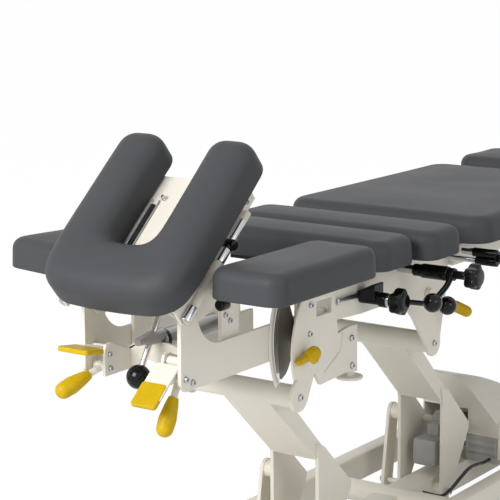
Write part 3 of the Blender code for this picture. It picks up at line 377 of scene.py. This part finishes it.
def rounded_block(width, length, thick, corner, rim, cell=0.006):
    """Points and faces of a block with rounded edges, such as a pad's foam or a flat bar, its top at Z = 0.

    The plan is a rectangle with round corners: each point of a square grid is carried out along its own
    direction to that outline. The wall follows a profile of (inset, height): a quarter round from the top,
    a straight side, and a small round under the edge.
    """
    across, along = max(8, round(width / cell)), max(8, round(length / cell))
    u, v = np.meshgrid(np.linspace(-1, 1, across + 1), np.linspace(-1, 1, along + 1), indexing="ij")
    reach = np.maximum(np.maximum(abs(u), abs(v)), 1e-9)

    def outline(bu, bv, inset):
        """Points of a square's rim carried to the round-cornered rectangle that lies inset from the edge."""
        half = np.array((width / 2 - inset, length / 2 - inset))
        radius = max(corner - inset, 0.002)
        box_point = np.stack([bu * half[0], bv * half[1]], -1)
        core = np.clip(box_point, -(half - radius), half - radius)
        away = box_point - core
        return core + radius * away / np.maximum(np.linalg.norm(away, axis=-1, keepdims=True), 1e-9)

    turn = np.linspace(0, np.pi / 2, 7)
    under = min(0.004, thick / 4)
    straight = np.linspace(-rim, -thick + under, max(3, round((thick - rim - under) / cell)) + 1)[1:-1]
    rows = np.concatenate([
        np.stack([rim * (1 - np.sin(turn)), -rim * (1 - np.cos(turn))], 1),
        np.stack([np.zeros(len(straight)), straight], 1),
        np.stack([under * (1 - np.cos(turn)), -thick + under * (1 - np.sin(turn))], 1)])
    square = np.concatenate([np.stack([u[:-1, 0], v[:-1, 0]], 1), np.stack([u[-1, :-1], v[-1, :-1]], 1),
                             np.stack([u[:0:-1, -1], v[:0:-1, -1]], 1), np.stack([u[0, :0:-1], v[0, :0:-1]], 1)])
    wall = np.stack([np.concatenate([outline(square[:, 0], square[:, 1], inset),
                                     np.full((len(square), 1), height)], 1) for inset, height in rows])
    points, faces = [wall.reshape(-1, 3)], []
    index = np.arange(wall.shape[0] * wall.shape[1]).reshape(wall.shape[:2])
    after = np.roll(index, -1, axis=1)
    faces.append(np.stack([index[:-1], after[:-1], after[1:], index[1:]], -1).reshape(-1, 4))
    start = index.size
    for inset, height in (rows[0], rows[-1]):
        plan = reach[..., None] * outline(u / reach, v / reach, inset)
        points.append(np.concatenate([plan, np.full((*plan.shape[:2], 1), height)], 2).reshape(-1, 3))
        cap = start + np.arange(plan.shape[0] * plan.shape[1]).reshape(plan.shape[:2])
        faces.append(np.stack([cap[:-1, :-1], cap[1:, :-1], cap[1:, 1:], cap[:-1, 1:]], -1).reshape(-1, 4))
        start += cap.size
    return np.concatenate(points), np.concatenate(faces)


def upholstered(name, points, faces, body, node, thick, to_table):
    """A vinyl-covered pad. Cloth under a little pressure swells the cover off the foam by at most SWELL, with
    the lowest STAPLED of its height kept on the board. The swell is then evened out, each point taking the mean
    of its neighbours, as under a tight cover; to_table carries the pad to its place."""
    made = closed_piece(name, points, faces, body, vinyl_cover, crisp=180)
    mesh = made.data
    rest = np.empty(len(mesh.vertices) * 3)
    mesh.vertices.foreach_get("co", rest)
    rest = rest.reshape(-1, 3)
    held = rest[:, 2] < STAPLED - thick
    stapled = made.vertex_groups.new(name="stapled")
    stapled.add(np.flatnonzero(held).tolist(), 1.0, "REPLACE")
    cover = made.modifiers.new("cover", "CLOTH")
    cover.settings.vertex_group_mass = "stapled"
    cover.settings.use_pressure = True
    cover.settings.uniform_pressure_force = PRESSURE
    cover.settings.effector_weights.gravity = 0.0
    cover.settings.quality = 4
    cover.point_cache.frame_start = 1
    cover.point_cache.frame_end = CLOTH_STEPS
    for step in range(1, CLOTH_STEPS + 1):
        bpy.context.scene.frame_set(step)
    swollen = made.evaluated_get(bpy.context.evaluated_depsgraph_get()).to_mesh()
    moved = np.empty(len(swollen.vertices) * 3)
    swollen.vertices.foreach_get("co", moved)
    step_by = moved.reshape(-1, 3) - rest
    far = np.linalg.norm(step_by, axis=1, keepdims=True)
    step_by *= np.minimum(1.0, SWELL / np.maximum(far, 1e-9))
    ends = np.empty(len(mesh.edges) * 2, int)
    mesh.edges.foreach_get("vertices", ends)
    first, second = ends.reshape(-1, 2).T
    shared = np.bincount(ends, minlength=len(rest))[:, None]
    for _ in range(EVENING_PASSES):
        around = np.stack([np.bincount(first, step_by[second, k], len(rest))
                           + np.bincount(second, step_by[first, k], len(rest)) for k in range(3)], 1) / shared
        step_by = np.where(held[:, None], 0.0, around)
    rest = rest + step_by
    made.modifiers.remove(cover)
    made.vertex_groups.remove(stapled)
    bpy.context.scene.frame_set(1)
    mesh.vertices.foreach_set("co", (SEAM + to_table(rest)).ravel())
    mesh.update()
    soft = made.modifiers.new("soft", "SUBSURF")
    soft.levels = soft.render_levels = 1
    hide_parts(node)


COVER_T, FOOT_T, FOOT_AT = 0.058, 0.089, (0.0, 1.095, 0.008)
CUT_SIDE, CUT_END, CUT_TOP = 0.002, 0.005, 0.002
for section, width, head_edge, foot_edge, corner, rim, cell in (
        ("thoracic", 0.452, -0.150, -0.004, 0.036, 0.024, 0.006),
        ("lumbar", 0.498, 0.004, 0.152, 0.036, 0.024, 0.006),
        ("pelvic", 0.502, 0.222, 0.930, 0.050, 0.022, 0.0085)):
    block, quads = rounded_block(width - CUT_SIDE, foot_edge - head_edge - CUT_END, COVER_T, corner, rim, cell)
    middle_y = (head_edge + foot_edge) / 2
    upholstered(f"{section}_cover", block, quads, section, f"{section}_cushion", COVER_T,
                lambda p, y=middle_y: p + (0.0, y, -CUT_TOP))
    dressed(f"{section}_board", board_black, edge=0.0008)
block, quads = rounded_block(0.454, 0.214, FOOT_T, 0.045, 0.022)
upholstered("foot_cover", block, quads, "platform", "foot_cushion", FOOT_T, lambda p: p + FOOT_AT)


# The drop controls on the right: black cylinders on bright shafts, a moulded star knob on each, and
# cocking levers with black balls; a flat bright link lies along the panel at unit A. The pelvic and
# quadrant levers end in grips dipped in yellow.
black_moulding = finish("black_moulding", (0.005, 0.005, 0.0055), 0.10, 0.03, 0.10, 0.0015, 0.00001, shine=0.24)
yellow_dip = finish("yellow_dip", (0.52, 0.345, 0.004), 0.05, 0.03, 0.42, 0.0016, 0.00005, shine=0.18)


def barrel(length, radius, ease=0.002):
    """Profile of a turned cylinder with both of its edges rounded by ease."""
    turn = np.linspace(0, np.pi / 2, 5)
    first = np.stack([ease * (1 - np.cos(turn)), radius - ease + ease * np.sin(turn)], 1)
    last = np.stack([length - ease * (1 - np.cos(turn[::-1])), first[::-1, 1]], 1)
    return np.concatenate([[(0, 0)], first, last, [(length, 0)]])


def ball_end(radius, start=0.0, rows=14):
    """Profile of a ball whose middle lies at start along the axis."""
    turn = np.linspace(0, np.pi, rows)
    return np.stack([start - radius * np.cos(turn), radius * np.sin(turn)], 1)


def along_x(first, last, radius, y, z, ease=0.0012, sides=32, lobes=None):
    """A turned cylinder that runs outwards from first to last at the height z and the length y."""
    return turned(barrel(last - first, radius, ease), (first, y, z), (first + 1, y, z), sides, lobes)


def star(angle):
    """Five soft lobes: the radius swings between 0.76 and 1 of its full size."""
    return 0.88 - 0.12 * np.cos(5 * angle)


CLEAR = 0.0003
ON_PANEL, STAR_R, BALL_R = PANEL_FACE + CLEAR, 0.028, 0.0195
PELVIC_LEVER_AT, QUADRANT_LEVER_AT = (0.205, -0.172), (-0.333, -0.203)
UNITS = {"a": (-0.070, -0.130), "b": (0.080, -0.095), "c": (0.270, -0.092)}
dressed("drop_cylinder_a", black_moulding, edge=0.0016)
block, quads = rounded_block(0.006, 0.078, 0.013, 0.0025, 0.0012, cell=0.003)
closed_piece("drop_link_a", SEAM + block + (0.1345, -0.128, -0.1165), quads, "platform", zinc, 50)
y, z = UNITS["b"]
sleeve = skin("drop_sleeve_b", [along_x(0.168, 0.1845, 0.0128, y, z), along_x(0.1870, 0.248, 0.015, y, z, 0.002, 36)],
              "platform", black_moulding)
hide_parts("drop_cylinder_b")
skin("drop_shaft_b", [along_x(ON_PANEL, 0.188, 0.009, y, z)], "platform", zinc)
y, z = UNITS["c"]
sleeve = skin("drop_sleeve_c", [along_x(0.2046, 0.2622, 0.0098, y, z + 0.0078, 0.0018),
                                along_x(0.2110, 0.2622, 0.0088, y, z - 0.0100, 0.0018),
                                along_x(0.2618, 0.264, 0.0150, y, z)],
              "platform", black_moulding)
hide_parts("drop_cylinder_c")
skin("drop_shaft_c", [along_x(0.1770, 0.206, 0.0062, y, z + 0.0078), along_x(0.196, 0.2045, 0.0078, y, z + 0.0078),
                      along_x(ON_PANEL, 0.212, 0.0055, y, z - 0.0100)], "platform", bright_chrome)

for unit, neck_start, ring_x, neck_x, end_x, neck_r in (("a", 0.1923, 0.1985, 0.206, 0.234, 0.0125),
                                                        ("b", 0.2623, 0.292, 0.292, 0.320, 0.0085),
                                                        ("c", 0.2643, 0.292, 0.292, 0.320, 0.0085)):
    y, z = UNITS[unit]
    knob = skin(f"star_knob_{unit}_moulding",
                [along_x(neck_start, neck_x + 0.004, neck_r, y, z),
                 along_x(neck_x, end_x - 0.004, STAR_R, y, z, 0.006, 72, star),
                 along_x(neck_x + 0.006, end_x, 0.019, y, z, 0.004)],
                f"star_knob_{unit}", black_moulding)
    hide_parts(f"star_knob_{unit}")
    skin(f"star_knob_{unit}_ring", [along_x(ring_x - 0.006, ring_x + 0.001, neck_r + 0.0015, y, z)],
         f"star_knob_{unit}", bright_chrome)

for unit, hub_start, hub_end, hub_r, bends, rod_r in (
        ("a", 0.1753, 0.192, 0.015, ((0.1825, 0.006, -0.002), (0.2005, 0.060, -0.0125), (0.2180, 0.115, -0.0245),
                                     (0.235, 0.170, -0.036)), 0.0055),
        ("b", 0.2483, 0.262, 0.013, ((0.255, -0.004, -0.003), (0.2560, -0.022, -0.018), (0.2570, -0.048, -0.029),
                                     (0.258, -0.086, -0.043)), 0.0062)):
    y, z = UNITS[unit]
    bent_rod = smooth_path(np.add(bends, (0, y, z)), 8)
    knob_ball = turned(ball_end(BALL_R, 0.0, 20), bent_rod[-1], bent_rod[-1] + (0, 0, 1), 36)
    lever = skin(f"cocking_lever_{unit}_ball",
                 [along_x(hub_start, hub_end, hub_r, y, z), tube(bent_rod, rod_r), knob_ball],
                 f"cocking_lever_{unit}", black_moulding)
    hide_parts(f"cocking_lever_{unit}")


def dipped(profile, root, tip):
    """A stem or grip from rows of (share of the length, radius) on the line from root to tip, eased to a smooth
    swell and closed by a round nose."""
    share_at, radius_at = np.asarray(profile, float).T
    along = np.linspace(share_at[0], share_at[-1], 26)
    reach = np.linalg.norm(np.subtract(tip, root))
    rows = np.stack([along * reach, np.interp(along, share_at, radius_at)], 1)
    rows[1:-1, 1] = (rows[:-2, 1] + 2 * rows[1:-1, 1] + rows[2:, 1]) / 4
    nose = ball_end(rows[-1, 1], rows[-1, 0])[8:]
    return turned(np.concatenate([[(rows[0, 0], 0)], rows, nose]), root, tip, 32)


y, z = PELVIC_LEVER_AT
stem_root, stem_tip = (0.137, y + 0.002, z - 0.002), (0.202, y + 0.043, z - 0.038)
stem = skin("pelvic_lever_stem", [along_x(ON_PANEL, 0.142, 0.012, y, z),
                                  dipped(((0, 0.0055), (0.75, 0.0055)), stem_root, stem_tip)],
            "pelvic_lever", white_coat)
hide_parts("pelvic_lever")
skin("pelvic_lever_grip", [dipped(((0.42, 0.0075), (0.70, 0.0125), (1.0, 0.0120)), stem_root, stem_tip)],
     "pelvic_lever", yellow_dip)

y, z = QUADRANT_LEVER_AT
toe = dipped(((0, 0.0080), (0.6, 0.0072), (1.0, 0.0064)), (0.164, y + 0.016, z + 0.006),
             (0.160, y - 0.010, z - 0.001))
bulb = dipped(((0, 0.0125), (0.5, 0.0162), (1.0, 0.0140)), (0.164, y + 0.016, z - 0.002),
              (0.171, y + 0.024, z + 0.012))
boot = skin("quadrant_lever_grip", [along_x(0.1498, 0.160, 0.007, y, z), toe, bulb], "quadrant_lever",
            yellow_dip)
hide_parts("quadrant_lever")

# The head frame: a yoke of two cut plates and a cross plate, with a grey spring tube between them.
# On each side two crescent plates, one painted and one steel with a bright rim, run through the quadrant.
for node in ("yoke_plate_left", "yoke_plate_right", "yoke_front_plate"):
    dressed(node, white_coat)
sector_steel = finish("sector_steel", (0.19, 0.185, 0.168), 0.10, 0.03, 0.42, 0.0008, 0.00004, metallic=0.85)
TILT_Y, TILT_Z = -0.190, -0.1675


def crescent(inner_x, outer_x, radius, width, first, last):
    """A curved plate about the tilt axis from first to last degrees. Its width follows the root of a half sine,
    so both ends run out to a blunt point; the section is a rectangle with eased corners."""
    steps = 60
    angle = np.radians(np.linspace(first, last, steps))
    taper = 0.16 + 0.84 * np.sqrt(np.sin(np.linspace(0.02, np.pi - 0.02, steps)))
    low, high, ease = min(inner_x, outer_x), max(inner_x, outer_x), 0.0007
    corners = [(low + ease, 1), (low, 1), (low, 0), (low + ease, 0),
               (high - ease, 0), (high, 0), (high, 1), (high - ease, 1)]
    inset = (ease, 2 * ease, 2 * ease, ease, ease, 2 * ease, 2 * ease, ease)
    rings = []
    for (x, inward), step_in in zip(corners, inset):
        r = radius - width * taper + step_in if inward else radius - step_in + 0 * taper
        rings.append(np.stack([np.full(steps, x), TILT_Y + r * np.cos(angle), TILT_Z + r * np.sin(angle)], 1))
    body = SEAM + np.stack(rings, 1)
    ends = [np.repeat(body[k].mean(axis=0)[None, None], len(corners), axis=1) for k in (0, -1)]
    return np.concatenate([ends[0], body, ends[1]])


YOKE_FACE, YOKE_BOLT_R = 0.1120, 0.0055
YOKE_BOLTS = ((-0.623, -0.0717), (-0.6356, -0.1796), (-0.6152, -0.1894))
for side, sign in SIDES:
    painted = skin(f"sector_plate_{side}", [crescent(sign * 0.1123, sign * 0.1142, 0.187, 0.045, 151, 209)],
                   "head_frame", white_coat)
    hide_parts(f"tilt_sector_{side}")
    skin(f"sector_steel_{side}", [crescent(sign * 0.1145, sign * 0.1180, 0.168, 0.066, 150, 207)], "head_frame",
         sector_steel)
    skin(f"sector_rim_{side}", [crescent(sign * 0.1142, sign * 0.1187, 0.1790, 0.0165, 154, 207)], "head_frame",
         bright_chrome)
    bolt_heads(f"yoke_bolts_{side}", "head_frame", [(sign * YOKE_FACE, y, z) for y, z in YOKE_BOLTS], (sign, 0, 0),
               YOKE_BOLT_R)
tube_grey = finish("tube_grey", (0.30, 0.30, 0.295), 0.05, 0.03, 0.30, 0.0010, 0.00003, metallic=0.8)
SPRING_Z, NOSE_Z = -0.137, -0.1285
SPRING_NOSE = ((0, 0), (0, 0.0062), (0.001, 0.0072), (0.012, 0.0082), (0.036, 0.0125), (0.072, 0.0135), (0.072, 0))
spring = skin("spring_tube_body",
              [turned(barrel(0.1717, 0.0185, 0.0015), (0, -0.5617, SPRING_Z), (0, 1, SPRING_Z), 40),
               turned(SPRING_NOSE, (0, -0.6300, NOSE_Z), (0, 1, NOSE_Z), 36)],
              "head_frame", tube_grey)
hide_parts("spring_tube")
skin("spring_tube_ring", [turned(barrel(0.010, 0.0192, 0.001), (0, -0.5600, SPRING_Z), (0, 1, SPRING_Z), 40)],
     "head_frame", black_moulding)


# Four sprung levers hang between the cross plate's brackets and the yoke: two flat paddles and two round
# levers, white steel where they leave their hubs and dipped in yellow at the hand.
def leaned(points, droop, pivot):
    """Points of a lever as it lies level, leaned about its pivot's X axis by droop degrees."""
    c, s = math.cos(math.radians(droop)), math.sin(math.radians(droop))
    x, y, z = np.moveaxis(np.asarray(points, float), -1, 0)
    return np.stack([x, pivot[0] + y * c - z * s, pivot[1] + y * s + z * c], -1)


PADDLE_PIVOT, HAND_PIVOT = (-0.628, -0.152), (-0.622, -0.186)
HUB_IN, HUB_OUT, HUB_R = 0.0693, 0.1037, 0.009
STEM_OUT, GRIP_OUT, GRIP_LENGTH = 0.1030, 0.102, 0.052
LEVER_FACE, SMALL_BOLT_R = 0.0630, 0.0050
for side, sign, droop, length, grip_in, stem_in in (("left", -1, -8, 0.105, 0.033, 0.0700),
                                                    ("right", 1, 40, 0.108, 0.048, 0.0500)):
    stem_length, stem_width = length - 0.030, STEM_OUT - stem_in
    block, quads = rounded_block(stem_width, stem_length, 0.005, 0.003, 0.0012, cell=0.004)
    block = leaned(block + (sign * (STEM_OUT + stem_in) / 2, -0.012 - stem_length / 2, 0.007), droop, PADDLE_PIVOT)
    stem = closed_piece(f"paddle_stem_{side}", SEAM + block, quads, f"paddle_{side}", white_coat, 50)
    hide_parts(f"paddle_{side}")
    block, quads = rounded_block(GRIP_OUT - grip_in, GRIP_LENGTH, 0.0095, 0.006, 0.0030, cell=0.003)
    block = leaned(block + (sign * (GRIP_OUT + grip_in) / 2, GRIP_LENGTH / 2 - length, 0.0093), droop, PADDLE_PIVOT)
    closed_piece(f"paddle_grip_{side}", SEAM + block, quads, f"paddle_{side}", yellow_dip, 50)
    hub_ends = sorted((sign * HUB_IN, sign * HUB_OUT))
    skin(f"paddle_hub_{side}", [along_x(*hub_ends, HUB_R, *PADDLE_PIVOT)], f"paddle_{side}", white_coat)
    bolt_heads(f"lever_bracket_bolts_{side}", "head_frame",
               [(sign * LEVER_FACE, -0.630, -0.160), (sign * LEVER_FACE, -0.628, -0.186)], (-sign, 0, 0),
               SMALL_BOLT_R)

for side, sign, droop, slant in (("left", -1, 22, -0.30), ("right", 1, 66, -0.05)):
    way = np.array((slant, -1.0, 0.0)) / math.hypot(slant, 1.0)
    root = np.array((sign * 0.0865, 0.0, 0.0))
    root_at, tip_at = (leaned(root + reach * way, droop, HAND_PIVOT) for reach in (0.0, 0.090))
    hub_ends = sorted((sign * HUB_IN, sign * HUB_OUT))
    stem = skin(f"drop_stem_{side}", [along_x(*hub_ends, HUB_R, *HAND_PIVOT),
                                      dipped(((0, 0.0066), (0.62, 0.0066)), root_at, tip_at)],
                f"drop_lever_{side}", white_coat)
    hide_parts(f"drop_lever_{side}")
    swollen_grip = dipped(((0.36, 0.0090), (0.52, 0.0125), (0.80, 0.0165), (1.0, 0.0158)), root_at, tip_at)
    skin(f"drop_grip_{side}", [swollen_grip], f"drop_lever_{side}", yellow_dip)

# The headrest: a white folded tray on two lugs with a bright guide rod along each side, a U-shaped pad
# that slides up on it with its toothed rack, and a clamp lever with a black ball.
HINGE_Y, HINGE_Z = -0.606, -0.076
TRAY_LEAN = math.radians(40.9)
PAD_MIDDLE, PAD_TOP, TRAY_TOP = 0.119, 0.152, 0.0797


def on_tray(points):
    """Points given across, along and square to the tray from its hinge, leaned to the tray's slope."""
    x, v, n = np.moveaxis(np.asarray(points, float), -1, 0)
    c, s = math.cos(TRAY_LEAN), math.sin(TRAY_LEAN)
    return np.stack([x, HINGE_Y + v * c - n * s, HINGE_Z + v * s + n * c], -1)


dressed("headrest_tray", white_coat, edge=0.0)
ROD_X, ROD_N, ROD_END = 0.136, 0.0497, 0.209
for side, sign in SIDES:
    rod_x = sign * ROD_X
    high_end = on_tray((rod_x, ROD_END, ROD_N))
    bright = [turned(barrel(last - first, radius, 0.001), on_tray((rod_x, first, ROD_N)), high_end)
              for first, last, radius in ((-0.042, -0.010, 0.0105), (0.092, 0.122, 0.0098), (0.140, 0.190, 0.0084))]
    skin(f"guide_rod_{side}", bright, "headrest_tray", zinc)
    collar = turned(barrel(0.018, 0.0108, 0.002), on_tray((rod_x, 0.122, ROD_N)), high_end)
    stud_at = on_tray((rod_x, 0.134, ROD_N))
    stud = turned(barrel(0.0140, 0.0105, 0.0025), stud_at, stud_at + np.array((sign, 0.0, 0.0)))
    skin(f"rod_collar_{side}", [collar, stud], "headrest_tray", black_moulding)
    bolt_heads(f"tray_bolt_{side}", "headrest_tray", [on_tray((sign * 0.130, 0.226, 0.060))], (sign, 0, 0),
               SMALL_BOLT_R)

rack_steel = finish("rack_steel", (0.10, 0.10, 0.098), 0.10, 0.02, 0.40, 0.0008, 0.00003, metallic=0.8)
RACK_X, RACK_HALF, RACK_START, RACK_STEPS = -0.0405, 0.0045, 0.044, 179
tooth = np.linspace(RACK_START, 0.178, RACK_STEPS)
saw = 0.0028 + 0.0022 * (np.arange(RACK_STEPS) % 4 > 1)
rack_rows = [np.stack([np.full(RACK_STEPS, RACK_X + dx), tooth, TRAY_TOP + CLEAR + up], 1)
             for dx, up in ((-RACK_HALF, 0 * saw), (-RACK_HALF, saw), (RACK_HALF, saw), (RACK_HALF, 0 * saw))]
rack = SEAM + on_tray(np.stack(rack_rows, 1))
rack_ends = [np.repeat(rack[k].mean(axis=0)[None, None], len(rack_rows), axis=1) for k in (0, -1)]
skin("slide_rack", [np.concatenate([rack_ends[0], rack, rack_ends[1]])], "headrest_pad", rack_steel)
RAIL_R = 0.0016
rail_n = TRAY_TOP + CLEAR + RAIL_R
rails = [turned(barrel(0.146, RAIL_R, 0.0004), on_tray((x, RACK_START, rail_n)), on_tray((x, 1.0, rail_n)), 12)
         for x in (-0.0480, -0.0330)]
skin("slide_rails", rails, "headrest_pad", zinc)
pin_at = on_tray((-0.026, 0.195, TRAY_TOP))
pin = turned([(0, 0), (0, 0.0050), (0.003, 0.0050), (0.004, 0.0040), (0.009, 0.0040), (0.0105, 0.0025), (0.0105, 0)],
             pin_at, pin_at + on_tray((0, 0, 1.0)) - on_tray((0, 0, 0)))
skin("slide_pin", [pin], "headrest_tray", zinc)

INNER = np.array(((0.0515, 0.187), (0.0525, 0.137), (0.0535, 0.085), (0.0540, 0.035), (0.0538, -0.005),
                  (0.0525, -0.034), (0.0460, -0.053), (0.0335, -0.0640), (0.0170, -0.0675), (0.0, -0.0685)))
OUTER = np.array(((0.1510, 0.187), (0.1515, 0.134), (0.1520, 0.076), (0.1525, 0.012), (0.1530, -0.050),
                  (0.1520, -0.108), (0.1420, -0.153), (0.1090, -0.1790), (0.0580, -0.1855), (0.0, -0.1870)))


def limb_edge(half):
    """One edge of the U as a smooth curve from the left tip round the closed end to the right tip."""
    return smooth_path(np.concatenate([half * (-1.0, 1.0), half[-2::-1]]), 24)


inner_edge, outer_edge = limb_edge(INNER), limb_edge(OUTER)
LIMB_WIDTH, LIMB_LENGTH, LIMB_T = 0.094, 0.882, 0.071


def bent_to_u(points):
    """A straight block bent to a U: its length runs along both edges together, its width goes from the
    outer edge to the inner one."""
    along = (points[:, 1] / LIMB_LENGTH + 0.5) * (len(inner_edge) - 1)
    share_in = np.clip(0.5 + points[:, 0] / LIMB_WIDTH, 0, 1)[:, None]
    steps = np.arange(len(inner_edge))
    near = np.stack([np.interp(along, steps, inner_edge[:, k]) for k in (0, 1)], 1)
    away = np.stack([np.interp(along, steps, outer_edge[:, k]) for k in (0, 1)], 1)
    plan = away + (near - away) * share_in
    return np.concatenate([plan, points[:, 2:]], 1)


block, quads = rounded_block(LIMB_WIDTH, LIMB_LENGTH, LIMB_T, 0.036, 0.034, cell=0.0055)
upholstered("headrest_cover", bent_to_u(block), quads, "headrest_pad", "headrest_pad", LIMB_T,
            lambda p: on_tray(p + (0.0, PAD_MIDDLE, PAD_TOP)))

SHAFT = on_tray((0.0, 0.060, -0.025))
BALL_AT = np.array((0.0, -0.627, -0.193))
CLAMP_HUB, CLAMP_ROD_R, CLAMP_BALL_R = 0.014, 0.0055, 0.0225
lever_length = float(np.linalg.norm(BALL_AT - SHAFT))
clamp = skin("headrest_lever_rod", [along_x(-CLAMP_HUB, CLAMP_HUB, CLAMP_HUB, SHAFT[1], SHAFT[2]),
                                    turned(barrel(lever_length, CLAMP_ROD_R, 0.001), SHAFT, BALL_AT)],
             "headrest_lever", bright_chrome)
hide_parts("headrest_lever")
skin("headrest_lever_ball", [turned(ball_end(CLAMP_BALL_R, lever_length, 20), SHAFT, BALL_AT, 40)],
     "headrest_lever", black_moulding)

# The armrests: a white bracket that slides up inside each yoke plate, with two bolts and a black screw under
# its shelf, and a vinyl pad that swings on the shelf. The left pad is swung out a little.
REST_PIVOT, REST_MIDDLE = np.array((0.185, -0.535)), np.array((0.232, -0.4655))
REST_TOP, REST_T, BRACKET_FACE = 0.027, 0.056, 0.1037
for side, sign, swing in (("left", -1, -9.5), ("right", 1, 0)):
    dressed(f"armrest_bracket_{side}", white_coat)
    bolt_heads(f"bracket_bolts_{side}", f"armrest_bracket_{side}",
               [(sign * BRACKET_FACE, -0.503, -0.089), (sign * BRACKET_FACE, -0.489, -0.102)], (sign, 0, 0),
               SMALL_BOLT_R)
    screw_at = np.array((sign * 0.142, -0.577, -0.0535))
    skin(f"bracket_screw_{side}", [turned(barrel(0.024, 0.0105, 0.003), screw_at, screw_at + (0, 1, 0))],
         f"armrest_bracket_{side}", black_moulding)
    block, quads = rounded_block(0.154, 0.345, REST_T, 0.034, 0.020, cell=0.0055)
    c, s = math.cos(math.radians(swing)), math.sin(math.radians(swing))

    def swung(p, sign=sign, c=c, s=s):
        """The pad's points turned about its upright pivot by the swing, with its top at REST_TOP."""
        x = p[:, 0] + sign * (REST_MIDDLE[0] - REST_PIVOT[0])
        y = p[:, 1] + REST_MIDDLE[1] - REST_PIVOT[1]
        return np.stack([sign * REST_PIVOT[0] + x * c - y * s, REST_PIVOT[1] + x * s + y * c, p[:, 2] + REST_TOP], 1)

    upholstered(f"armrest_cover_{side}", block, quads, f"armrest_{side}", f"armrest_pad_{side}", REST_T, swung)
